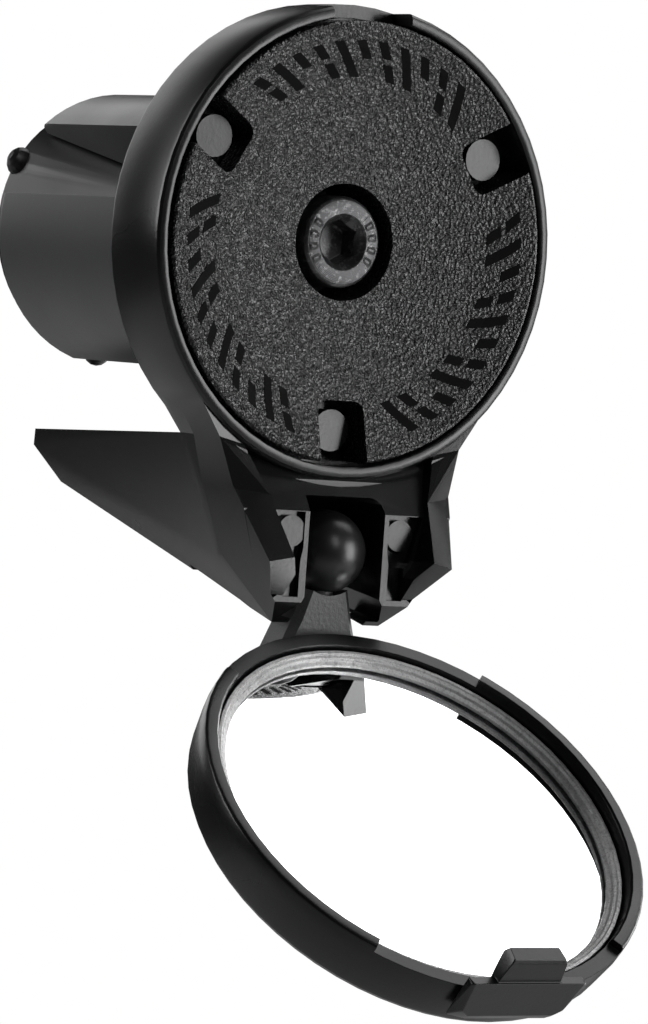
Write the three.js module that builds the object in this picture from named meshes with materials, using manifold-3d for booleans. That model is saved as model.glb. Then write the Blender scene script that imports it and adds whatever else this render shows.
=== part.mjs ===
// Bar-end bicycle mirror: an expanding plug, an end-cap ring with a boat-shaped bracket below it,
// and a round folding mirror on a ball joint. Millimetres, +Z up.
// The origin is the centre of the ring's front plane, +Y runs along the plug into the handlebar,
// and the object is symmetric about the plane X = 0.
import * as THREE from 'three';
import { mergeVertices } from 'three/addons/utils/BufferGeometryUtils.js';
import { ConvexGeometry } from 'three/addons/geometries/ConvexGeometry.js';
import Module from 'manifold-3d';

const wasm = await Module();
wasm.setup();

// ---- Driving dimensions ------------------------------------------------------------------------

const GAP = 0.3;                  // clearance between neighbouring pieces
const ROUND = 60;                 // facets around a large turned piece
const SMALL_ROUND = 30;           // facets around a small turned piece

const RING_R = 18;                // end-cap ring, outer radius
const RING_DEPTH = 6.7;           // ring front plane to the face that meets the bar end
const LIP_WIDTH = 1.0;
const FLOOR_Y = 3.4;              // front face of the ring's floor, behind the disc
const GASKET_FLOOR_Y = 5.8;
const GASKET_R = 14.6;            // soft ring in the rear face, where the bar end seats
const NOTCH_DEPTH = 2.7;          // depth of the latch notch in the lip

const DISC_R = RING_R - LIP_WIDTH - 0.22;
const DISC_PROUD = 0.2;           // disc edge stands this far in front of the lip
const DISC_DISH = 2.2;            // the disc's face is dished this deep at its centre
const PLUG_R = 10.9;
const PLUG_END = 34.8;            // rear tips of the fingers
const GAP_ANGLES = [30, 150, 270];  // disc slots, finger gaps and wedge lugs share these angles
const FINGER_GAP = 35;            // degrees between two fingers
const SLOT_WIDTH = 4.2;
const SLOT_INNER_R = 12.0;

const SCREW_R = 2.0;              // M4 socket cap screw
const HEAD_R = 3.5;
const HEAD_HEIGHT = 4;
const HEAD_TOP_Y = 2.0;
const SCREW_TIP_Y = HEAD_TOP_Y + HEAD_HEIGHT + 30;
const COUNTERBORE_R = 4.45;

const WEDGE_FRONT_Y = 25.0;
const WEDGE_REAR_Y = 36.0;
const WEDGE_SLOPE = 0.345;        // radius gained per millimetre towards the rear
const WEDGE_REAR_R = 10.0;

const BALL = new THREE.Vector3(0, 1.7, -23.5);
const BALL_R = 3.2;
const FOLD_AT_REST = 48.6;        // degrees swung forward from hanging straight down
const RIM_BEHIND_BALL = 2.7;      // rim plane behind the ball's centre, with the glass facing -Y
const NECK_TILT = 33;             // the neck leans this far from square to the mirror, in degrees

const SHOULDER_X = 12.9;          // the bracket's sides leave the ring's wall at this point
const SHOULDER_Z = -12.4;
const CHEEK_TOP_X = 11.0;         // bracket's outer half-width where it leaves the ring
const CHEEK_TOP_Z = -15.2;
const CHEEK_X = 8.35;             // outer half-width at the cheeks' lower corners
const CHEEK_LOW_Z = -24.2;
const CHIN_Z = -28.95;            // lowest point of the bracket
const BEND_Z = -20.4;             // the web turns upright below this height
const WEB_Y = -1.2;               // front face of the web between the cheeks
const WEB_LEAN = 0.64;            // above the bend it leans back this much per millimetre of rise
const LIP_RELIEF_R = RING_R + 0.5;  // fine groove around the lip, cut in the bracket
const SOCKET_X = BALL_R + 0.25;   // half-width of the slot that holds the ball
const SOCKET_TOP_Z = -19.2;
const NECK_SLOT_END = 14.0;       // rear end of the slot below the ball
const RELIEF_DEPTH = 0.6;         // depth of the two keyhole reliefs in the web
const RELIEF_TOP_Z = -20.45;
const PAD_R = 1.2;                // round pad at the head of each relief
const FIN_END = 40.0;
const FIN_FLOOR_Y = 8.1;          // front end of the fin's hollow

const MIRROR_R = 18;
const MIRROR_DEPTH = 5.3;
const RIM_WIDTH = 1.1;
const RIM_RELIEF = 0.6;           // the rim is lower beside the neck and beside the latch
const LATCH_FLAT_Z = -17.35;      // flat on the shell's wall that the latch block sits against
const LATCH_HALF_X = 5.1;
const LATCH_REAR_Y = 3.3;
const TAB_HALF_X = 2.8;
const TAB_REAR_Z = -16.6;         // the tab's top overhangs the rim as far as this
const TAB_HEIGHT = 2.9;           // the tab stands this far in front of the rim plane
const GLASS_R = 16.0;
const GLASS_SIGHT_R = 15.65;
const GLASS_Y = 2.0;              // rim plane to the glass edge
const GLASS_THICKNESS = 1.2;
const ARM_SCREW_Z = 11;           // small screw through the arm's plate into the shell
const GLASS_DOME = 0.3;           // the glass is slightly convex

const PLASTIC = { color: 0x17181a, roughness: 0.55, metalness: 0.0 };
const GRAINED = { color: 0x121213, roughness: 0.75, metalness: 0.0 };
const GREY_PLASTIC = { color: 0x2e2f31, roughness: 0.6, metalness: 0.0 };
const STEEL = { color: 0x2a2a2b, roughness: 0.4, metalness: 0.9 };
const SOFT_TOUCH = { color: 0x101011, roughness: 0.42, metalness: 0.0 };
const RUBBER = { color: 0x1c1c1d, roughness: 0.9, metalness: 0.0 };
const TRIM = { color: 0x6d6f70, roughness: 0.5, metalness: 0.2 };
const SILVERED = { color: 0xe6e8ea, roughness: 0.03, metalness: 1.0 };

// ---- Shape helpers -----------------------------------------------------------------------------

const rad = THREE.MathUtils.degToRad;

function toSolid(geometry) {
  const bare = geometry.clone();
  bare.deleteAttribute('normal');
  bare.deleteAttribute('uv');
  const welded = mergeVertices(bare, 1e-4);
  const mesh = new wasm.Mesh({
    numProp: 3,
    vertProperties: Float32Array.from(welded.attributes.position.array),
    triVerts: Uint32Array.from(welded.index.array),
  });
  mesh.merge();
  return new wasm.Manifold(mesh);
}

function toGeometry(solid) {
  const mesh = solid.getMesh();
  const geometry = new THREE.BufferGeometry();
  geometry.setAttribute('position', new THREE.BufferAttribute(mesh.vertProperties, 3));
  geometry.setIndex(new THREE.BufferAttribute(mesh.triVerts, 1));
  const flat = geometry.toNonIndexed();
  flat.computeVertexNormals();
  return flat;
}

// A turned solid about the Y axis from a list of [radius, y] that closes on itself.
function turned(profile, segments = ROUND) {
  const outline = profile.map(([r, y]) => new THREE.Vector2(r, y));
  let area = 0;
  outline.forEach((p, i) => {
    const next = outline[(i + 1) % outline.length];
    area += p.x * next.y - next.x * p.y;
  });
  if (area < 0) outline.reverse();
  outline.push(outline[0].clone());
  return toSolid(new THREE.LatheGeometry(outline, segments));
}

// A quarter-round corner as [radius, y] points, from startAngle over 90 degrees.
function corner(centreR, centreY, radius, startAngle, sweep = 90, steps = 3) {
  return Array.from({ length: steps + 1 }, (_, i) => {
    const angle = rad(startAngle + (sweep * i) / steps);
    return [centreR + radius * Math.cos(angle), centreY + radius * Math.sin(angle)];
  });
}

function tube(outerR, innerR, y0, y1, segments = SMALL_ROUND) {
  return turned([[innerR, y0], [outerR, y0], [outerR, y1], [innerR, y1]], segments);
}

function cylinder(radius, y0, y1, segments = SMALL_ROUND) {
  const geometry = new THREE.CylinderGeometry(radius, radius, y1 - y0, segments);
  geometry.translate(0, (y0 + y1) / 2, 0);
  return toSolid(geometry);
}

function hexagon(acrossFlats, y0, y1) {
  return cylinder(acrossFlats / Math.sqrt(3), y0, y1, 6);
}

function box(x0, x1, y0, y1, z0, z1) {
  const geometry = new THREE.BoxGeometry(x1 - x0, y1 - y0, z1 - z0);
  geometry.translate((x0 + x1) / 2, (y0 + y1) / 2, (z0 + z1) / 2);
  return toSolid(geometry);
}

function sphere(radius, centre, across = 32, up = 20) {
  const geometry = new THREE.SphereGeometry(radius, across, up);
  geometry.translate(centre.x, centre.y, centre.z);
  return toSolid(geometry);
}

// A convex solid around points given as [x, y, z]; each is mirrored to -X as well.
function mirroredHull(points) {
  const all = points.flatMap(([x, y, z]) => [
    new THREE.Vector3(x, y, z),
    new THREE.Vector3(-x, y, z),
  ]);
  return toSolid(new ConvexGeometry(all));
}

// Extrudes an outline of [x, z] points along Y, between y0 and y1.
function plateXZ(outline, y0, y1) {
  const shape = new THREE.Shape(outline.map(([x, z]) => new THREE.Vector2(x, z)));
  const geometry = new THREE.ExtrudeGeometry(shape, { depth: y1 - y0, bevelEnabled: false });
  geometry.rotateX(Math.PI / 2);
  geometry.translate(0, y1, 0);
  return toSolid(geometry);
}

// Extrudes an outline of [y, z] points along X, between -halfWidth and +halfWidth.
function plateYZ(outline, halfWidth) {
  const shape = new THREE.Shape(outline.map(([y, z]) => new THREE.Vector2(y, z)));
  const geometry = new THREE.ExtrudeGeometry(shape, { depth: 2 * halfWidth, bevelEnabled: false });
  geometry.rotateY(Math.PI / 2);
  geometry.rotateX(Math.PI / 2);
  geometry.translate(-halfWidth, 0, 0);
  return toSolid(geometry);
}

// A wedge-shaped sector about the Y axis, centred on an angle in the XZ plane.
function sector(centreAngle, width, radius, y0, y1) {
  const steps = Math.max(2, Math.ceil(width / 15));
  const outline = [[0, 0]];
  for (let i = 0; i <= steps; i++) {
    const angle = rad(centreAngle - width / 2 + (width * i) / steps);
    outline.push([radius * Math.cos(angle), radius * Math.sin(angle)]);
  }
  return plateXZ(outline, y0, y1);
}

// Turns a solid about the Y axis from +X towards an angle in the XZ plane.
function aimed(solid, angle) {
  return solid.rotate([0, -angle, 0]);
}

const object = new THREE.Group();

function addPiece(name, solid, finish, parent = object) {
  const mesh = new THREE.Mesh(toGeometry(solid), new THREE.MeshStandardMaterial(finish));
  mesh.name = name;
  parent.add(mesh);
}

// ---- End-cap housing: ring, bracket and fin in one moulding ---------------------------------------

function ringSolid() {
  const boreR = PLUG_R + 0.4;
  return turned([
    [boreR, FLOOR_Y], [RING_R - LIP_WIDTH, FLOOR_Y],
    ...corner(RING_R - LIP_WIDTH + 0.25, 0.25, 0.25, 180),
    ...corner(RING_R - 0.5, 0.5, 0.5, 270),
    ...corner(RING_R - 0.4, RING_DEPTH - 0.4, 0.4, 0),
    [GASKET_R + GAP, RING_DEPTH], [GASKET_R + GAP, GASKET_FLOOR_Y], [boreR, GASKET_FLOOR_Y],
  ]);
}

// The outer boat shape of the bracket: upright cheeks, a chin below them and a fin behind.
function hullSolid() {
  return mirroredHull([
    [CHEEK_TOP_X, WEB_Y, CHEEK_TOP_Z], [CHEEK_TOP_X - 0.3, 6.4, CHEEK_TOP_Z],
    [CHEEK_X, WEB_Y, CHEEK_LOW_Z], [CHEEK_X - 0.2, 4, CHEEK_LOW_Z],
    [6.1, WEB_Y, -27.3], [4.9, 0.8, CHIN_Z],
    [2.7, FIN_END, -16.3], [2.5, FIN_END + 0.4, -17.6], [1.3, FIN_END - 2.2, -20.4],
  ]);
}

// Carries the ring's outer wall down into the cheeks, in front of the fin.
function shoulderSolid() {
  const rear = RING_DEPTH - 0.4;
  return mirroredHull([
    [SHOULDER_X, 0.4, SHOULDER_Z], [SHOULDER_X, rear, SHOULDER_Z],
    [CHEEK_TOP_X, 0.4, CHEEK_TOP_Z], [CHEEK_TOP_X - 0.3, rear, CHEEK_TOP_Z],
  ]);
}

// The space in front of the web, from the ring's level down.
function spaceBeforeWeb() {
  const rise = 8;
  const forward = -9;
  return plateYZ([
    [forward, BEND_Z + rise], [WEB_Y + WEB_LEAN * rise, BEND_Z + rise], [WEB_Y, BEND_Z],
    [WEB_Y, -40], [forward, -40],
  ], 20);
}

// The walls that stand forward of the web, from the ring down each side to the chin.
function cheekSolid() {
  const innerEdge = [[10.2, 0.6, -12.6], [8.7, 0.5, -15.7], [7.25, -1.25, -19.3],
    [6.4, -3.9, -23.8], [3.6, -0.5, -27.7]];
  const outerEdge = [[SHOULDER_X, 0.4, SHOULDER_Z], [CHEEK_TOP_X, 0.4, CHEEK_TOP_Z],
    [9.85, -0.2, -19.0], [CHEEK_X, -3.5, CHEEK_LOW_Z], [4.9, 0.8, CHIN_Z]];
  const rearY = [4, 4, 4, 3, 0.8];
  let solid = null;
  for (let i = 0; i + 1 < innerEdge.length; i++) {
    const points = [i, i + 1].flatMap((k) => [innerEdge[k], outerEdge[k]].flatMap(([x, y, z]) => [
      new THREE.Vector3(x, y, z),
      new THREE.Vector3(x, rearY[k], z),
    ]));
    const span = toSolid(new ConvexGeometry(points));
    solid = solid ? solid.add(span) : span;
  }
  return solid.add(solid.mirror([1, 0, 0]));
}

// The way that the neck swings: through the window in front, and out below the ball.
function neckSweep() {
  const reach = 20;
  const rear = BALL.y + BALL_R + 0.2;
  const slot = plateYZ([
    [rear, SOCKET_TOP_Z], [-reach, SOCKET_TOP_Z], [-reach, BALL.z - reach],
    [NECK_SLOT_END, BALL.z - reach], [NECK_SLOT_END, -24.0], [FIN_FLOOR_Y + 0.5, -24.6],
    [rear, BALL.z - 0.5],
  ], SOCKET_X);
  const round = 0.9;
  const top = SOCKET_TOP_Z;
  const arch = plateXZ([
    [-SOCKET_X, BALL.z - reach], [SOCKET_X, BALL.z - reach], [SOCKET_X, top - 2 * round],
    ...corner(SOCKET_X - round, top - round, round, 0, 90, 3),
    [-SOCKET_X, top],
  ], -reach, reach);
  const mouth = mirroredHull([
    [SOCKET_X, -6, -27.6], [SOCKET_X + 1.1, -6, -29.4], [0, -6, -25],
    [SOCKET_X, 9, -25.8], [SOCKET_X + 1.1, 9, -27.6], [0, 9, -24],
    [SOCKET_X, NECK_SLOT_END, -24.6], [SOCKET_X + 1.1, NECK_SLOT_END, -26.4],
  ]);
  return slot.intersect(arch).add(mouth);
}

// A keyhole relief beside the socket, which lets its thin inner wall spring on the ball.
function keyhole(side) {
  const near = SOCKET_X + 0.4;
  const outline = [
    [near, RELIEF_TOP_Z], [near + 3.1, RELIEF_TOP_Z], [near + 2.5, -22.4], [near + 2.0, -24.0],
    [near + 1.6, -24.4], [near + 1.6, -26.9], [near + 0.2, -26.9], [near + 0.2, -24.2],
    [near, -23.2],
  ];
  const recess = plateXZ(outline, -6, WEB_Y + RELIEF_DEPTH);
  return side > 0 ? recess : recess.mirror([1, 0, 0]);
}

function housing() {
  const inside = mirroredHull([
    [8.5, FIN_FLOOR_Y, -10], [8.0, FIN_FLOOR_Y, -18], [6.3, FIN_FLOOR_Y, -22.6],
    [3.4, FIN_FLOOR_Y, -25.9], [1.7, FIN_END - 1.4, -10], [1.25, FIN_END - 1.6, -18.2],
    [0.55, FIN_END - 3.4, -19.2],
  ]);
  let solid = hullSolid().subtract(inside).add(shoulderSolid()).subtract(spaceBeforeWeb());
  solid = solid.add(cheekSolid());
  solid = solid.subtract(cylinder(LIP_RELIEF_R, -8, 0.3, ROUND)).add(ringSolid());
  solid = solid.subtract(cylinder(RING_R - LIP_WIDTH, 0.3, FLOOR_Y, ROUND));
  solid = solid.subtract(cylinder(PLUG_R + 0.4, -8, FIN_FLOOR_Y, ROUND));
  solid = solid.subtract(cylinder(GASKET_R + GAP, GASKET_FLOOR_Y, FIN_FLOOR_Y, ROUND));
  solid = solid.subtract(neckSweep()).subtract(sphere(BALL_R + GAP, BALL));
  for (const side of [-1, 1]) {
    const pad = cylinder(PAD_R, WEB_Y + 0.1, WEB_Y + RELIEF_DEPTH + 0.4, 24);
    const padX = side * (SOCKET_X + 0.3 + PAD_R);
    solid = solid.subtract(keyhole(side)).add(pad.translate([padX, 0, RELIEF_TOP_Z - 1.5]));
  }
  const latchNotch = box(-3.6, 3.6, -2, NOTCH_DEPTH, RING_R - LIP_WIDTH - 0.3, RING_R + 2);
  solid = solid.subtract(latchNotch);
  const stud = cylinder(1.6, 1.9, FLOOR_Y + 0.5, 24).translate([14.3, 0, 0]);
  for (const angle of GAP_ANGLES) {
    solid = solid.add(aimed(stud, angle));
  }
  return solid;
}

// ---- Expanding plug ---------------------------------------------------------------------------------

function faceDisc() {
  const hubRearY = 10.8;
  const tubeRearY = 20;
  const dishSteps = 4;
  const dish = Array.from({ length: dishSteps }, (_, i) => {
    const r = COUNTERBORE_R + ((DISC_R - 0.3 - COUNTERBORE_R) * i) / dishSteps;
    return [r, -DISC_PROUD + DISC_DISH * (1 - (r / DISC_R) ** 2)];
  });
  let solid = turned([
    [2.4, 8.4], [COUNTERBORE_R, 8.4], ...dish,
    ...corner(DISC_R - 0.3, -DISC_PROUD + 0.3, 0.3, 270),
    [DISC_R, FLOOR_Y - GAP], [PLUG_R, FLOOR_Y - GAP], [PLUG_R, 6.4], [6.2, 6.4],
    [6.2, hubRearY], [4.5, hubRearY], [4.5, tubeRearY], [2.4, tubeRearY],
  ]);
  const half = SLOT_WIDTH / 2;
  const round = 0.8;
  const slotOutline = [
    [DISC_R + 2, -half], [DISC_R + 2, half],
    ...corner(SLOT_INNER_R + round, half - round, round, 90),
    ...corner(SLOT_INNER_R + round, -half + round, round, 180),
  ];
  const slot = plateXZ(slotOutline, -2, FLOOR_Y);
  for (const angle of GAP_ANGLES) {
    solid = solid.subtract(aimed(slot, angle));
  }
  return solid;
}

function fingerRing() {
  const wedgeR = (y) => WEDGE_REAR_R + GAP + (y - WEDGE_REAR_Y) * WEDGE_SLOPE;
  return turned([
    [8.9, 6.4 + GAP], [PLUG_R, 6.4 + GAP],
    ...corner(PLUG_R - 0.8, PLUG_END - 0.8, 0.8, 0, 75),
    [wedgeR(PLUG_END), PLUG_END], [wedgeR(25.5), 25.5], [8.9, 19.5],
  ]);
}

function finger(centreAngle) {
  return fingerRing().intersect(sector(centreAngle, 120 - FINGER_GAP, 20, 0, 40));
}

function wedge() {
  const frontR = WEDGE_REAR_R - (WEDGE_REAR_Y - WEDGE_FRONT_Y) * WEDGE_SLOPE;
  let solid = turned([
    [SCREW_R + GAP, WEDGE_FRONT_Y], [frontR, WEDGE_FRONT_Y],
    [WEDGE_REAR_R, WEDGE_REAR_Y], [WEDGE_REAR_R - 0.5, WEDGE_REAR_Y + 0.5],
    [SCREW_R + GAP, WEDGE_REAR_Y + 0.5],
  ]);
  const lugR = 1.25;
  const lugEnd = PLUG_R - lugR;
  const lugShank = cylinder(lugR, 6, lugEnd, 16);
  const lugTip = sphere(lugR, new THREE.Vector3(0, lugEnd, 0), 16, 8);
  const lug = lugShank.add(lugTip).scale([0.62, 1, 1]).rotate([0, 0, -90])
    .translate([0, WEDGE_REAR_Y - 0.2, 0]);
  for (const angle of GAP_ANGLES) {
    solid = solid.add(aimed(lug, angle));
  }
  return solid.subtract(hexagon(7.5, WEDGE_REAR_Y - 3.3, WEDGE_REAR_Y + 2));
}

function hexNut() {
  return hexagon(7.0, WEDGE_REAR_Y - 3.0, WEDGE_REAR_Y + 0.2)
    .subtract(cylinder(SCREW_R + 0.2, 20, 50));
}

function clampScrew() {
  const headRear = HEAD_TOP_Y + HEAD_HEIGHT;
  const solid = turned([
    [0, headRear], [0, HEAD_TOP_Y], ...corner(HEAD_R - 0.5, HEAD_TOP_Y + 0.5, 0.5, 270),
    [HEAD_R, headRear], [SCREW_R, headRear], [SCREW_R, SCREW_TIP_Y - 0.5],
    [SCREW_R - 0.5, SCREW_TIP_Y], [0, SCREW_TIP_Y],
  ], SMALL_ROUND);
  const mouth = turned([[0, HEAD_TOP_Y - 1], [2.9, HEAD_TOP_Y - 1], [1.5, HEAD_TOP_Y + 0.9],
    [0, HEAD_TOP_Y + 0.9]], SMALL_ROUND);
  return solid.subtract(hexagon(3.0, HEAD_TOP_Y - 1, HEAD_TOP_Y + 2.4)).subtract(mouth);
}

function springWasher() {
  const y = HEAD_TOP_Y + HEAD_HEIGHT + 0.25;
  return tube(3.6, 2.3, y, y + 0.9).subtract(box(-0.25, 0.25, 0, 20, 1, 5));
}

// ---- Ball joint and arm -------------------------------------------------------------------------------

// These pieces are built about the ball's centre, hanging straight with the glass facing -Y.
const NECK_BACK = RIM_BEHIND_BALL + MIRROR_DEPTH + GAP;   // ball centre to the arm's plate

function ball() {
  const bore = cylinder(1.5, -1.2, 6, 20).rotate([-NECK_TILT, 0, 0]);
  return sphere(BALL_R, new THREE.Vector3(), 30, 20).subtract(bore);
}

// Joins square sections of [y, halfX, halfZ, offsetZ] into one eight-sided neck.
function loft(sections) {
  let solid = null;
  for (let i = 0; i + 1 < sections.length; i++) {
    const points = [];
    for (const [y, hx, hz, z] of [sections[i], sections[i + 1]]) {
      const cut = 0.35 * Math.min(hx, hz);
      points.push([hx, y, z + hz - cut], [hx - cut, y, z + hz]);
      points.push([hx, y, z - hz + cut], [hx - cut, y, z - hz]);
    }
    const piece = mirroredHull(points);
    solid = solid ? solid.add(piece) : piece;
  }
  return solid;
}

function arm() {
  const pin = cylinder(1.2, -0.9, 4, 20);
  const neck = loft([
    [2.7, 2.0, 1.6, 0], [5.0, 2.7, 1.7, 0], [6.6, 3.3, 1.7, 0], [8.4, 3.5, 1.6, 0.7],
    [10.4, 3.5, 1.5, 1.7],
  ]).subtract(sphere(BALL_R + GAP, new THREE.Vector3(), 30, 20));
  const plate = mirroredHull([
    [3.3, NECK_BACK, -3.2], [3.2, NECK_BACK + 1.0, -3.6], [3.6, NECK_BACK, -7],
    [3.3, NECK_BACK + 1.5, -9],
    [2.6, NECK_BACK, -17.5], [2.6, NECK_BACK + 1.2, -17.5], [2.0, NECK_BACK + 1.6, -16.5],
  ]);
  const hole = cylinder(1.1, 0, NECK_BACK + 4, 20);
  const headRecess = cylinder(1.65, NECK_BACK + 0.7, NECK_BACK + 4, 20);
  const screwSpace = hole.add(headRecess).translate([0, 0, BALL.z + ARM_SCREW_Z]);
  const shellSpace = cylinder(MIRROR_R + GAP, 0, NECK_BACK, ROUND).translate([0, 0, BALL.z]);
  return pin.add(neck).rotate([-NECK_TILT, 0, 0]).add(plate).subtract(shellSpace)
    .subtract(screwSpace);
}

// ---- Mirror head ----------------------------------------------------------------------------------------

// These pieces are built about the centre of the rim plane, with the glass facing -Y and the neck at +Z.
function mirrorShell() {
  const innerR = MIRROR_R - RIM_WIDTH;
  const floorY = MIRROR_DEPTH - 1.4;
  const solid = turned([
    [0, floorY], [innerR - 0.1, floorY], [innerR - 0.1, 0.9], [innerR, 0.15], [innerR + 0.15, 0],
    ...corner(MIRROR_R - 0.3, 0.3, 0.3, 270), [MIRROR_R, 1.4],
    ...corner(MIRROR_R - 1.9, MIRROR_DEPTH - 1.5, 1.5, 8, 82, 4),
    [0, MIRROR_DEPTH],
  ]);
  const neckRelief = sector(90, 81, 24, -1, RIM_RELIEF).subtract(cylinder(10, -2, 2));
  const latchRelief = sector(270, 76, 24, -1, RIM_RELIEF).subtract(cylinder(10, -2, 2));
  const screwHole = cylinder(1.1, MIRROR_DEPTH - 0.9, MIRROR_DEPTH + 1, 20);
  const latchFlat = box(-MIRROR_R, MIRROR_R, -1, LATCH_REAR_Y + GAP, -MIRROR_R - 2, LATCH_FLAT_Z);
  return solid.subtract(neckRelief).subtract(latchRelief).subtract(latchFlat)
    .subtract(screwHole.translate([0, 0, ARM_SCREW_Z]));
}

function mirrorBezel() {
  const outer = MIRROR_R - RIM_WIDTH - 0.3;
  const rearY = GLASS_Y - 0.15;
  return turned([
    [outer, 0.95], [outer, rearY], [GLASS_SIGHT_R, rearY], [GLASS_SIGHT_R, 1.6],
    [15.95, 1.45], [16.0, 1.2], [16.25, 1.1], [16.3, 0.95],
  ]);
}

function mirrorGlass() {
  const rings = 4;
  const dome = Array.from({ length: rings + 1 }, (_, i) => {
    const r = (GLASS_R * i) / rings;
    return [r, GLASS_Y - GLASS_DOME * (1 - (r / GLASS_R) ** 2) + 0.05];
  });
  return turned([[0, GLASS_Y + GLASS_THICKNESS], ...dome, [GLASS_R, GLASS_Y + GLASS_THICKNESS]]);
}

function armScrew() {
  const headY = MIRROR_DEPTH + GAP + 1.0;
  const top = headY + 0.9;
  const solid = turned([
    [0, MIRROR_DEPTH - 0.6], [0.8, MIRROR_DEPTH - 0.6], [0.8, headY], [1.35, headY],
    [1.35, top - 0.3], [1.05, top], [0, top],
  ], 20);
  const slots = box(-0.8, 0.8, top - 0.5, top + 1, -0.2, 0.2)
    .add(box(-0.2, 0.2, top - 0.5, top + 1, -0.8, 0.8));
  return solid.subtract(slots).translate([0, 0, ARM_SCREW_Z]);
}

// A block seated on a flat at the shell's lowest point, with the tab that enters the ring's notch.
function latchHook() {
  const seatZ = LATCH_FLAT_Z - GAP;
  const faceZ = seatZ - 0.8;
  const baseY = RIM_RELIEF - GAP;
  const block = mirroredHull([
    [LATCH_HALF_X, -0.7, seatZ], [LATCH_HALF_X, LATCH_REAR_Y, seatZ],
    [LATCH_HALF_X, -0.7, faceZ + 0.1], [LATCH_HALF_X - 0.2, -0.8, faceZ],
    [LATCH_HALF_X - 0.6, LATCH_REAR_Y - 1.2, faceZ], [LATCH_HALF_X - 1.3, LATCH_REAR_Y - 0.6, faceZ],
    [LATCH_HALF_X - 1.6, LATCH_REAR_Y, faceZ + 0.3],
  ]);
  const tab = mirroredHull([
    [TAB_HALF_X, baseY, seatZ + 0.2], [TAB_HALF_X, baseY, faceZ + 0.2],
    [TAB_HALF_X, -0.9, seatZ + 0.4], [TAB_HALF_X, -0.9, faceZ + 0.2],
    [TAB_HALF_X - 0.4, 0.5 - TAB_HEIGHT, TAB_REAR_Z], [TAB_HALF_X - 0.3, 0.3 - TAB_HEIGHT, faceZ + 0.3],
    [TAB_HALF_X - 0.6, -TAB_HEIGHT, TAB_REAR_Z - 0.2], [TAB_HALF_X - 0.5, -TAB_HEIGHT, faceZ + 0.5],
  ]);
  return block.add(tab);
}

// ---- Assembly -------------------------------------------------------------------------------------------

addPiece('end_cap_housing', housing(), PLASTIC);
addPiece('face_disc', faceDisc(), GRAINED);
GAP_ANGLES.forEach((angle, i) => {
  addPiece(`expander_finger_${i + 1}`, finger(angle + 60), GREY_PLASTIC);
});
addPiece('wedge_nut', wedge(), PLASTIC);
addPiece('hex_nut', hexNut(), STEEL);
addPiece('clamp_screw', clampScrew(), STEEL);
addPiece('spring_washer', springWasher(), STEEL);
addPiece('flat_washer', tube(4.2, 2.3, 7.4, 8.1), STEEL);
const gasketY = GASKET_FLOOR_Y + GAP;
addPiece('bar_end_gasket', tube(GASKET_R, 12, gasketY, gasketY + 1, ROUND), RUBBER);

const swung = new THREE.Group();
swung.position.copy(BALL);
swung.rotation.x = -rad(FOLD_AT_REST);
object.add(swung);
addPiece('joint_ball', ball(), SOFT_TOUCH, swung);
addPiece('mirror_arm', arm(), GREY_PLASTIC, swung);

const head = new THREE.Group();
head.position.set(0, RIM_BEHIND_BALL, BALL.z);
swung.add(head);
addPiece('mirror_shell', mirrorShell(), PLASTIC, head);
addPiece('mirror_bezel', mirrorBezel(), TRIM, head);
const cupR = MIRROR_R - RIM_WIDTH - 0.3;
const gasket = tube(cupR, GLASS_R + 0.2, GLASS_Y + 0.15, 3.6, ROUND);
addPiece('glass_gasket', gasket, RUBBER, head);
addPiece('mirror_glass', mirrorGlass(), SILVERED, head);
const glassRear = GLASS_Y + GLASS_THICKNESS;
addPiece('glass_pad', cylinder(15, glassRear + 0.2, MIRROR_DEPTH - 1.6, ROUND), RUBBER, head);
addPiece('latch_hook', latchHook(), PLASTIC, head);
addPiece('arm_screw', armScrew(), STEEL, head);

export default object;
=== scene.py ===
"""Looks for the bar-end bicycle mirror: materials, softened edges, studio light and camera.

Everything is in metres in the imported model's frame: +Y into the handlebar, +Z up.
"""

import math

import bmesh
import bpy
from mathutils import Matrix, Vector
from mathutils.bvhtree import BVHTree


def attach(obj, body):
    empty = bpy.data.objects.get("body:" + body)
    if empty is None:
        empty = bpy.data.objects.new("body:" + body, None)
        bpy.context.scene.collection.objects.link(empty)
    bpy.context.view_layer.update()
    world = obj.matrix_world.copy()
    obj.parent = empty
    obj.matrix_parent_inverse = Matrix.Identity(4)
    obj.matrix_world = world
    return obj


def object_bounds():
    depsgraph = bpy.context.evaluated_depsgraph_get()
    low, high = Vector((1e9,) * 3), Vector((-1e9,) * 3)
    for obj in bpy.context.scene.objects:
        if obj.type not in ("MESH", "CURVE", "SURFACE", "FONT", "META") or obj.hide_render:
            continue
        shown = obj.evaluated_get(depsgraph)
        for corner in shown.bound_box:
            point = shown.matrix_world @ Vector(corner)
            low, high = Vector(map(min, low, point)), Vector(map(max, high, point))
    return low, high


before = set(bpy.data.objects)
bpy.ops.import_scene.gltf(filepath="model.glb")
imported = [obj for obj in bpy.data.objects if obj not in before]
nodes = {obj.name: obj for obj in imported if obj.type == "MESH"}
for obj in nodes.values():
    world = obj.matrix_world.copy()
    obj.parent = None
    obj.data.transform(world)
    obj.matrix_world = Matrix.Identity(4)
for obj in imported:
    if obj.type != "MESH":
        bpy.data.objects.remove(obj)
cad_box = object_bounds()
scene = bpy.context.scene
MM = 0.001

# ---- Camera ----------------------------------------------------------------------------------

CAMERA_AZIMUTH = -34.45     # degrees round the object, 0 looks along +Y
CAMERA_ELEVATION = 1.66
CAMERA_ROLL = 4.05
CAMERA_DISTANCE = 0.46874
CAMERA_LENS = 218.1         # for a 36 mm sensor along the picture's long side
CAMERA_NEAR = 0.01
CAMERA_FAR = 20.0
AIM_RIGHT = -0.00258        # where the picture's middle lies in the camera's right and up axes
AIM_UP = -0.02033

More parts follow.
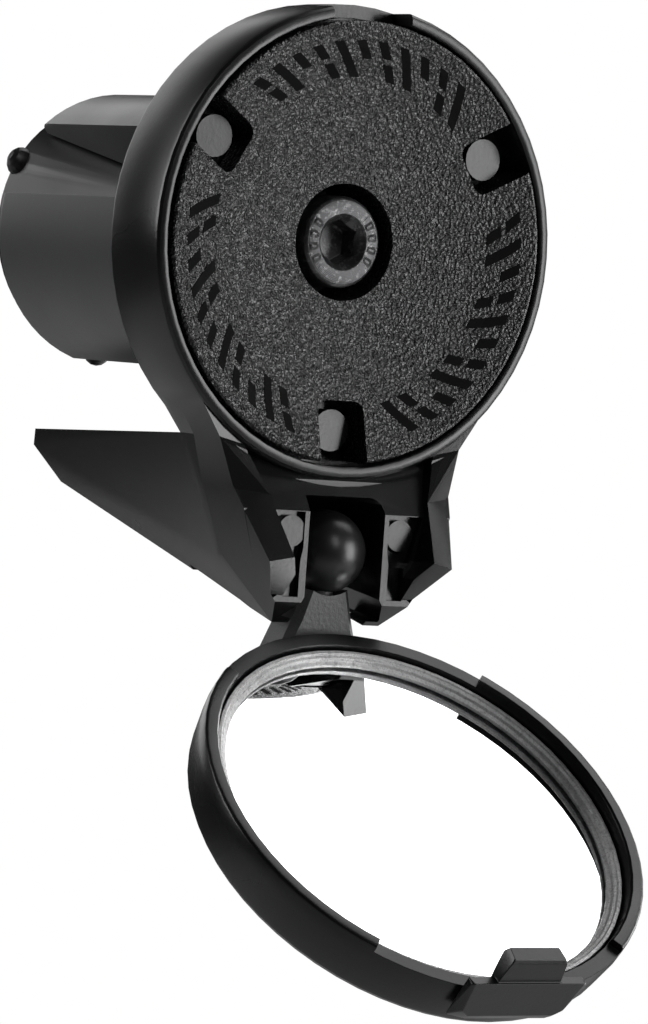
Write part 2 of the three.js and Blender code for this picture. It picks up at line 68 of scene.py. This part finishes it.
# ---- Light and floor -------------------------------------------------------------------------

# Name, direction from the object, distance, width, height, and brightness when seen.
SOFTBOXES = (
    ("overhead", (0.565, 0.074, 0.822), 1.2, 0.8, 0.7, 2.6),
    ("right_front", (0.70, -0.70, 0.06), 1.1, 0.5, 0.7, 7.5),
    ("right_strip", (1.0, 0.15, 0.10), 1.0, 0.25, 1.0, 7.0),
    ("left_back", (-0.80, 0.50, 0.42), 1.1, 0.35, 0.9, 6.0),
    ("front_high", (0.02, -0.87, 0.50), 1.2, 0.25, 0.5, 4.0),
    ("back_fill", (0.10, 1.0, 0.30), 1.3, 0.9, 0.7, 1.6),
)
BACKDROP_WHITE = (1.0, 1.0, 1.0, 1.0)
ROOM_GREY = (0.03, 0.03, 0.031, 1.0)
FLOOR_REACH = 8.0
FLOOR_DROP = 0.4            # from the object's lowest point down to the floor

# ---- Surface relief --------------------------------------------------------------------------

EDGE_WEAR_HIGHLIGHT_FROM = 0.52            # pointiness at which an edge starts to look handled and to get a painted highlight
EDGE_WEAR_HIGHLIGHT_FULL = 0.62
WAVE_SCALE = 220.0          # slow unevenness that every moulding has
WAVE_DEPTH = 0.04 * MM
GRAIN_DEPTH = 0.115 * MM    # leather-like grain of the disc
TURNING_RATE = 52000.0      # radians of the turning rings' sine for each metre of radius
TURNING_HEIGHT = 0.06
SPECK_HEIGHT = 0.3

PIP_PITCH = 20.0            # degrees between the small raised dots on the screw's head
PIP_INNER_R = 2.35 * MM
PIP_OUTER_R = 3.0 * MM
PIP_HEIGHT = 2.2
PIP_ARC = 85.0              # degrees that each of the two rows of dots covers
PIP_ARC_SHIFT = 40.0        # degrees before the level line, going round, that a row starts

# ---- Marks on the disc -----------------------------------------------------------------------

MARK_INNER_R = 12.5 * MM    # band of dark slanting marks
MARK_OUTER_R = 15.3 * MM
MARK_PITCH = 7.6            # degrees from one mark to the next
MARK_WIDTH = 0.85 * MM
MARK_LEAN = 7.0             # degrees that a mark leans over its length
MARK_NOTCH = 0.2 * MM       # half the gap in a broken mark
MARKS_IN_GROUP = 11
MARK_GROUPS = (90.0, 210.0, 330.0)   # middles of the groups, between the disc's slots
MARK_PROUD = 0.03 * MM      # the marks stand this far above the grain
MARK_SUNK = 0.1 * MM        # and reach this far below it
MARK_ROUNDING = 0.02 * MM
RAY_LEAD = 0.05             # a ray that looks for the disc's face starts this far in front
MARK_STEPS = 5              # lengthwise divisions of a mark, which follow the disc's dish

# ---- Edges of the CAD pieces -----------------------------------------------------------------

WELD_DISTANCE = 0.002 * MM
ROUNDING_SEGMENTS = 3
ROUNDING_FROM_ANGLE = 20    # degrees between two faces from which their edge is rounded


# ---- Node helpers ----------------------------------------------------------------------------

class Shader:
    """A material with a Principled shader and short calls for the nodes around it."""

    def __init__(self, name, colour, roughness, metallic=0.0, specular=0.5):
        self.material = bpy.data.materials.new(name)
        self.material.use_nodes = True
        self.tree = self.material.node_tree
        self.bsdf = self.tree.nodes["Principled BSDF"]
        self.bsdf.inputs["Base Color"].default_value = (*colour, 1.0)
        self.bsdf.inputs["Roughness"].default_value = roughness
        self.bsdf.inputs["Metallic"].default_value = metallic
        self.bsdf.inputs["Specular IOR Level"].default_value = specular
        self.material.diffuse_color = (*colour, 1.0)
        self.place = self.add("ShaderNodeTexCoord").outputs["Object"]

    def add(self, kind, **settings):
        """A new node with its settings."""
        node = self.tree.nodes.new(kind)
        for key, value in settings.items():
            setattr(node, key, value)
        return node

    def link(self, value, socket):
        """Sets a socket to a number, or joins another node's output to it."""
        if isinstance(value, (int, float)):
            socket.default_value = value
        else:
            self.tree.links.new(value, socket)

    def math(self, operation, a, b=None, clamp=False):
        node = self.add("ShaderNodeMath", operation=operation, use_clamp=clamp)
        self.link(a, node.inputs[0])
        if b is not None:
            self.link(b, node.inputs[1])
        return node.outputs[0]

    def noise(self, scale, detail=2.0, roughness=0.5):
        node = self.add("ShaderNodeTexNoise")
        node.inputs["Scale"].default_value = scale
        node.inputs["Detail"].default_value = detail
        node.inputs["Roughness"].default_value = roughness
        self.link(self.place, node.inputs["Vector"])
        return node.outputs["Fac"]

    def cells(self, scale, smooth):
        node = self.add("ShaderNodeTexVoronoi", feature="SMOOTH_F1")
        node.inputs["Scale"].default_value = scale
        node.inputs["Smoothness"].default_value = smooth
        self.link(self.place, node.inputs["Vector"])
        return node.outputs["Distance"]

    def spread(self, value, low, high, start=0.0, end=1.0):
        """Maps a value between start and end to between low and high."""
        node = self.add("ShaderNodeMapRange", clamp=True)
        node.inputs["From Min"].default_value = start
        node.inputs["From Max"].default_value = end
        node.inputs["To Min"].default_value = low
        node.inputs["To Max"].default_value = high
        self.link(value, node.inputs["Value"])
        return node.outputs["Result"]

    def within(self, value, low, high, soft):
        """1 where a value lies between low and high, falling to 0 over soft at each end."""
        rising = self.spread(value, 0.0, 1.0, low - soft, low + soft)
        falling = self.spread(value, 1.0, 0.0, high - soft, high + soft)
        return self.math("MULTIPLY", rising, falling)

    def blend(self, factor, dark, light):
        node = self.add("ShaderNodeMix", data_type="RGBA")
        self.link(factor, node.inputs["Factor"])
        node.inputs["A"].default_value = (*dark, 1.0)
        node.inputs["B"].default_value = (*light, 1.0)
        return node.outputs["Result"]

    def bump(self, height, depth, strength=1.0, below=None):
        """A normal for a height in units of depth, laid over another normal if one is given."""
        node = self.add("ShaderNodeBump")
        node.inputs["Strength"].default_value = strength
        node.inputs["Distance"].default_value = depth
        self.link(height, node.inputs["Height"])
        if below is not None:
            self.link(below, node.inputs["Normal"])
        return node.outputs["Normal"]

    def edge_wear_and_highlight(self):
        """Rises on convex edges: handling wear that polishes them, and a painted edge highlight."""
        point = self.add("ShaderNodeNewGeometry").outputs["Pointiness"]
        return self.spread(point, 0.0, 1.0, EDGE_WEAR_HIGHLIGHT_FROM, EDGE_WEAR_HIGHLIGHT_FULL)

    def polar(self):
        """Radius from the plug's axis in metres, and the angle round it in degrees."""
        split = self.add("ShaderNodeSeparateXYZ")
        self.link(self.place, split.inputs[0])
        x, z = split.outputs["X"], split.outputs["Z"]
        square = self.math("ADD", self.math("MULTIPLY", x, x), self.math("MULTIPLY", z, z))
        radius = self.math("SQRT", square)
        angle = self.math("MULTIPLY", self.math("ARCTAN2", z, x), math.degrees(1.0))
        return radius, angle

    def finish(self, colour, roughness=None, normal=None):
        """Joins the varying colour, roughness and normal to the shader, and gives the material."""
        inputs = (("Base Color", colour), ("Roughness", roughness), ("Normal", normal))
        for name, value in inputs:
            if value is not None:
                self.link(value, self.bsdf.inputs[name])
        return self.material


# ---- Materials -------------------------------------------------------------------------------

def moulded_plastic(name, dark, light, roughness, grain_scale, grain_depth, specular=0.5):
    """Satin injection-moulded plastic: fine grain, slow gloss changes, and paler edges painted as
    handling wear and as an edge highlight.
    """
    s = Shader(name, dark, roughness, specular=specular)
    slow = s.noise(70.0, 3.0)
    fine = s.noise(grain_scale, 3.0, 0.6)
    # Convex edges are painted paler: handling wear and a painted highlight along the edges.
    handled_lit_edges = s.edge_wear_and_highlight()
    tone = s.math("ADD", s.math("MULTIPLY", slow, 0.45), s.math("MULTIPLY", handled_lit_edges, 0.55), clamp=True)
    gloss = s.spread(slow, roughness + 0.05, roughness - 0.05, 0.3, 0.7)
    gloss = s.math("SUBTRACT", gloss, s.math("MULTIPLY", handled_lit_edges, 0.06))
    waves = s.bump(s.noise(WAVE_SCALE), WAVE_DEPTH, 0.35)
    return s.finish(s.blend(tone, dark, light), gloss, s.bump(fine, grain_depth, 0.6, waves))


def grained_disc():
    """Coarse leather-like grain: small glossy pebbles whose crowns are painted lighter as a
    highlight, with painted shade in the darker valleys between them.
    """
    dark, light = (0.001, 0.001, 0.0011), (0.014, 0.014, 0.0145)
    s = Shader("grained_disc", dark, 0.3)
    pebbles = s.noise(4300.0, 1.0, 0.4)
    valleys = s.cells(3600.0, 0.8)
    patches = s.noise(300.0)
    relief = s.math("SUBTRACT", s.math("MULTIPLY", pebbles, 1.6), s.math("MULTIPLY", valleys, 0.8))
    # Painted highlight on the pebbles' crowns and painted shade in the valleys between them.
    crown_highlight_valley_shade = s.spread(pebbles, 0.0, 1.0, 0.35, 0.65)
    tone = s.math("MULTIPLY", crown_highlight_valley_shade, s.spread(patches, 0.6, 1.0, 0.3, 0.7))
    gloss = s.spread(pebbles, 0.36, 0.15, 0.35, 0.65)
    return s.finish(s.blend(tone, dark, light), gloss, s.bump(relief, GRAIN_DEPTH))


def screw_head_pips(s, radius, angle):
    """Two rows of small raised dots on opposite sides of the screw's head."""
    along = s.math("FRACT", s.math("DIVIDE", s.math("ADD", angle, 360.0), PIP_PITCH))
    dots = s.math(
        "MULTIPLY",
        s.within(along, 0.3, 0.7, 0.12),
        s.within(radius, PIP_INNER_R, PIP_OUTER_R, 0.1 * MM),
    )
    round_half = s.math("MODULO", s.math("ADD", angle, 360.0 + PIP_ARC_SHIFT), 180.0)
    return s.math("MULTIPLY", dots, s.math("LESS_THAN", round_half, PIP_ARC))


def blackened_steel():
    """Black-oxide steel with fine turning rings and small worn spots."""
    dark, light = (0.07, 0.07, 0.072), (0.34, 0.34, 0.34)
    s = Shader("blackened_steel", dark, 0.36, metallic=0.85)
    radius, angle = s.polar()
    rings = s.math("SINE", s.math("MULTIPLY", radius, TURNING_RATE))
    specks = s.spread(s.noise(2400.0, 4.0, 0.7), 0.0, 1.0, 0.52, 0.68)
    # Convex edges are painted paler: handling wear and a painted highlight along the edges.
    handled_lit_edges = s.edge_wear_and_highlight()
    tone = s.math("ADD", s.math("MULTIPLY", specks, 0.5), s.math("MULTIPLY", handled_lit_edges, 0.5), clamp=True)
    pips = screw_head_pips(s, radius, angle)
    height = s.math(
        "ADD",
        s.math("MULTIPLY", rings, TURNING_HEIGHT),
        s.math("MULTIPLY", pips, PIP_HEIGHT),
    )
    height = s.math("ADD", height, s.math("MULTIPLY", specks, SPECK_HEIGHT))
    gloss = s.spread(specks, 0.42, 0.3)
    return s.finish(s.blend(tone, dark, light), gloss, s.bump(height, 0.06 * MM, 0.8))


def soft_rubber():
    """Matt, evenly grained rubber."""
    s = Shader("soft_rubber", (0.02, 0.02, 0.02), 0.8, specular=0.3)
    grain = s.noise(1500.0, 4.0, 0.6)
    colour = s.blend(grain, (0.014, 0.014, 0.014), (0.03, 0.03, 0.03))
    return s.finish(colour, s.spread(grain, 0.7, 0.9), s.bump(grain, 0.03 * MM, 0.6))


def grey_trim():
    """Frosted grey ring round the glass, speckled like ground plastic."""
    dark, light = (0.22, 0.22, 0.22), (0.78, 0.78, 0.78)
    s = Shader("grey_trim", light, 0.36, metallic=0.4)
    specks = s.noise(2600.0, 5.0, 0.75)
    bands = s.noise(500.0)
    tone = s.math("MULTIPLY", s.spread(specks, 0.0, 1.0, 0.3, 0.7), s.spread(bands, 0.55, 1.0))
    gloss = s.spread(specks, 0.42, 0.2, 0.3, 0.7)
    return s.finish(s.blend(tone, dark, light), gloss, s.bump(specks, 0.07 * MM, 0.9))


def silvered_glass():
    """Mirror with barely uneven silvering and a faint haze in patches."""
    s = Shader("silvered_glass", (0.93, 0.935, 0.94), 0.012, metallic=1.0)
    haze = s.noise(60.0, 4.0, 0.6)
    colour = s.blend(haze, (0.91, 0.915, 0.92), (0.95, 0.953, 0.956))
    return s.finish(colour, s.spread(haze, 0.008, 0.03, 0.3, 0.8))


# For each moulding: material name, darkest and lightest colour, roughness, scale and depth of the
# grain, and specular level.
MOULDINGS = {
    "housing": ("moulded_housing", (0.0028, 0.0029, 0.0032), (0.008, 0.0081, 0.0086),
                0.30, 3200.0, 0.012 * MM, 0.42),
    "shell": ("moulded_shell", (0.0026, 0.0027, 0.003), (0.0075, 0.0076, 0.0081),
              0.30, 2800.0, 0.014 * MM, 0.32),
    "plug": ("satin_plug", (0.045, 0.046, 0.047), (0.075, 0.076, 0.078),
             0.40, 1400.0, 0.012 * MM, 0.5),
    "arm": ("grained_arm", (0.035, 0.0355, 0.036), (0.09, 0.091, 0.092),
            0.45, 3600.0, 0.06 * MM, 0.5),
    "wedge": ("dark_wedge", (0.008, 0.008, 0.0085), (0.022, 0.022, 0.023),
              0.40, 1400.0, 0.012 * MM, 0.5),
    "ball": ("satin_ball", (0.008, 0.008, 0.0085), (0.014, 0.014, 0.0145),
             0.34, 5200.0, 0.006 * MM, 0.5),
    "marks": ("dark_marks", (0.002, 0.002, 0.002), (0.004, 0.004, 0.004),
              0.70, 2400.0, 0.01 * MM, 0.06),
}

materials = {look: moulded_plastic(*values) for look, values in MOULDINGS.items()}
materials["disc"] = grained_disc()
materials["steel"] = blackened_steel()
materials["rubber"] = soft_rubber()
materials["trim"] = grey_trim()
materials["glass"] = silvered_glass()

# ---- CAD pieces: finish and softened edges ---------------------------------------------------

# Node to material, and the width of its edge rounding in millimetres.
LOOKS = {
    "end_cap_housing": ("housing", 0.4),
    "face_disc": ("disc", 0.10),
    "expander_finger_1": ("plug", 0.18),
    "expander_finger_2": ("plug", 0.18),
    "expander_finger_3": ("plug", 0.18),
    "wedge_nut": ("wedge", 0.12),
    "hex_nut": ("steel", 0.10),
    "clamp_screw": ("steel", 0.08),
    "spring_washer": ("steel", 0.08),
    "flat_washer": ("steel", 0.08),
    "bar_end_gasket": ("rubber", 0.15),
    "joint_ball": ("ball", 0.0),
    "mirror_arm": ("arm", 0.25),
    "mirror_shell": ("shell", 0.12),
    "mirror_bezel": ("trim", 0.05),
    "glass_gasket": ("rubber", 0.0),
    "mirror_glass": ("glass", 0.05),
    "glass_pad": ("rubber", 0.0),
    "latch_hook": ("shell", 0.28),
    "arm_screw": ("steel", 0.05),
}


def dress(node, material, rounding):
    """Gives a CAD node its material, smooth shading and softly rounded edges."""
    mesh = node.data
    mesh.materials.clear()
    mesh.materials.append(material)
    if "custom_normal" in mesh.attributes:
        mesh.attributes.remove(mesh.attributes["custom_normal"])
    mesh.polygons.foreach_set("use_smooth", [True] * len(mesh.polygons))
    weld = node.modifiers.new("weld", "WELD")
    weld.merge_threshold = WELD_DISTANCE
    if rounding:
        bevel = node.modifiers.new("rounding", "BEVEL")
        bevel.width = rounding * MM
        bevel.segments = ROUNDING_SEGMENTS
        bevel.limit_method = "ANGLE"
        bevel.angle_limit = math.radians(ROUNDING_FROM_ANGLE)
        bevel.harden_normals = True
        bevel.use_clamp_overlap = True
    mesh.update()


for name, (look, rounding) in LOOKS.items():
    dress(nodes[name], materials[look], rounding)

# ---- Marks on the disc -----------------------------------------------------------------------

def mark_spans():
    """Start and end radius of each mark in a repeating run: whole, broken, short."""
    inner, outer = MARK_INNER_R, MARK_OUTER_R
    middle = (inner + outer) / 2
    return [
        [(inner, outer)],
        [(inner, middle - MARK_NOTCH), (middle + MARK_NOTCH, outer)],
        [(middle, outer)],
    ]


def disc_marks():
    """Thin smooth bars laid on the disc's face, following its dish."""
    disc = nodes["face_disc"].data
    face = BVHTree.FromPolygons(
        [vertex.co for vertex in disc.vertices],
        [tuple(polygon.vertices) for polygon in disc.polygons],
    )
    inwards = Vector((0.0, 1.0, 0.0))
    in_front = inwards * -RAY_LEAD
    corners = (
        (-1, -MARK_SUNK),
        (-1, MARK_PROUD),
        (1, MARK_PROUD),
        (1, -MARK_SUNK),
    )
    bars = bmesh.new()

    def on_disc(radius, angle, side, lift):
        """The point on the disc's face at a polar place, moved sideways and lifted off it."""
        turn = math.radians(angle)
        out = Vector((math.cos(turn), 0.0, math.sin(turn)))
        across = Vector((-out.z, 0.0, out.x))
        spot = out * radius + across * side
        hit = face.ray_cast(spot + in_front, inwards)[0]
        return hit - inwards * lift

    def bar(centre_angle, start, end):
        """One leaning bar from its start radius to its end radius, closed at both ends."""
        rings = []
        for step in range(MARK_STEPS + 1):
            radius = start + (end - start) * (step / MARK_STEPS)
            lean = MARK_LEAN * (radius - MARK_INNER_R) / (MARK_OUTER_R - MARK_INNER_R)
            angle = centre_angle + lean - MARK_LEAN / 2
            rings.append([
                bars.verts.new(on_disc(radius, angle, side * MARK_WIDTH / 2, lift))
                for side, lift in corners
            ])
        for near, far in zip(rings, rings[1:]):
            for k in range(len(corners)):
                after = (k + 1) % len(corners)
                bars.faces.new((near[k], near[after], far[after], far[k]))
        bars.faces.new(rings[0][::-1])
        bars.faces.new(rings[-1])

    spans = mark_spans()
    for group in MARK_GROUPS:
        for index in range(MARKS_IN_GROUP):
            angle = group + (index - (MARKS_IN_GROUP - 1) / 2) * MARK_PITCH
            for start, end in spans[index % len(spans)]:
                bar(angle, start, end)
    bmesh.ops.recalc_face_normals(bars, faces=bars.faces)
    mesh = bpy.data.meshes.new("disc_marks")
    bars.to_mesh(mesh)
    bars.free()
    mesh.materials.append(materials["marks"])
    piece = bpy.data.objects.new("disc_marks", mesh)
    scene.collection.objects.link(piece)
    rounding = piece.modifiers.new("rounding", "BEVEL")
    rounding.width = MARK_ROUNDING
    rounding.segments = 2
    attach(piece, "end_cap")


disc_marks()

# ---- Stage, light and camera -----------------------------------------------------------------

lowest, highest = cad_box
middle = (Vector(lowest) + Vector(highest)) / 2


def camera_mix(tree, others, seen):
    """Mixes two shaders so that the camera sees one and all other rays meet the other."""
    path = tree.nodes.new("ShaderNodeLightPath")
    mix = tree.nodes.new("ShaderNodeMixShader")
    tree.links.new(path.outputs["Is Camera Ray"], mix.inputs[0])
    tree.links.new(others, mix.inputs[1])
    tree.links.new(seen, mix.inputs[2])
    return mix.outputs[0]


def pale_floor():
    """A wide floor that looks as white as the backdrop and returns only soft light."""
    s = Shader("pale_floor", (0.7, 0.7, 0.7), 0.8, specular=0.1)
    s.finish(s.blend(s.noise(3.0, 3.0), (0.68, 0.68, 0.68), (0.72, 0.72, 0.72)))
    glow = s.add("ShaderNodeEmission")
    glow.inputs["Color"].default_value = BACKDROP_WHITE
    surface = camera_mix(s.tree, s.bsdf.outputs[0], glow.outputs[0])
    s.link(surface, s.tree.nodes["Material Output"].inputs["Surface"])
    height = lowest[2] - FLOOR_DROP
    signs = ((-1, -1), (1, -1), (1, 1), (-1, 1))
    corners = [(x * FLOOR_REACH, y * FLOOR_REACH, height) for x, y in signs]
    mesh = bpy.data.meshes.new("floor")
    mesh.from_pydata(corners, [], [(0, 1, 2, 3)])
    mesh.materials.append(s.material)
    floor = bpy.data.objects.new("floor", mesh)
    scene.collection.objects.link(floor)


def softbox(name, direction, distance, width, height, radiance):
    """An area light facing the object from a direction, given by its brightness when seen."""
    light = bpy.data.lights.new(name, "AREA")
    light.shape = "RECTANGLE"
    light.size = width
    light.size_y = height
    light.energy = math.pi * width * height * radiance
    lamp = bpy.data.objects.new(name, light)
    towards = Vector(direction).normalized()
    lamp.location = middle + towards * distance
    lamp.rotation_mode = "QUATERNION"
    lamp.rotation_quaternion = towards.to_track_quat("Z", "Y")
    lamp.visible_camera = False
    scene.collection.objects.link(lamp)


def studio():
    """White backdrop for the camera, and a dim grey room for everything else."""
    world = bpy.data.worlds.new("studio")
    scene.world = world
    world.use_nodes = True
    tree = world.node_tree
    tree.nodes.clear()
    backdrop = tree.nodes.new("ShaderNodeBackground")
    backdrop.inputs["Color"].default_value = BACKDROP_WHITE
    room = tree.nodes.new("ShaderNodeBackground")
    room.inputs["Color"].default_value = ROOM_GREY
    output = tree.nodes.new("ShaderNodeOutputWorld")
    surface = camera_mix(tree, room.outputs[0], backdrop.outputs[0])
    tree.links.new(surface, output.inputs["Surface"])


def camera():
    """Looks at the object from its front left, with a long lens."""
    azimuth, elevation = math.radians(CAMERA_AZIMUTH), math.radians(CAMERA_ELEVATION)
    back = Vector((
        math.sin(azimuth) * math.cos(elevation),
        -math.cos(azimuth) * math.cos(elevation),
        math.sin(elevation),
    ))
    level = back.to_track_quat("Z", "Y").to_matrix()
    turn = level @ Matrix.Rotation(math.radians(CAMERA_ROLL), 3, "Z")
    right, up = turn.col[0], turn.col[1]
    lens = bpy.data.cameras.new("camera")
    lens.lens = CAMERA_LENS
    lens.clip_start = CAMERA_NEAR
    lens.clip_end = CAMERA_FAR
    eye = bpy.data.objects.new("camera", lens)
    eye.rotation_mode = "QUATERNION"
    eye.rotation_quaternion = turn.to_quaternion()
    eye.location = right * AIM_RIGHT + up * AIM_UP + back * CAMERA_DISTANCE
    scene.collection.objects.link(eye)
    scene.camera = eye


scene.view_settings.view_transform = "Standard"
pale_floor()
studio()
for box in SOFTBOXES:
    softbox(*box)
camera()
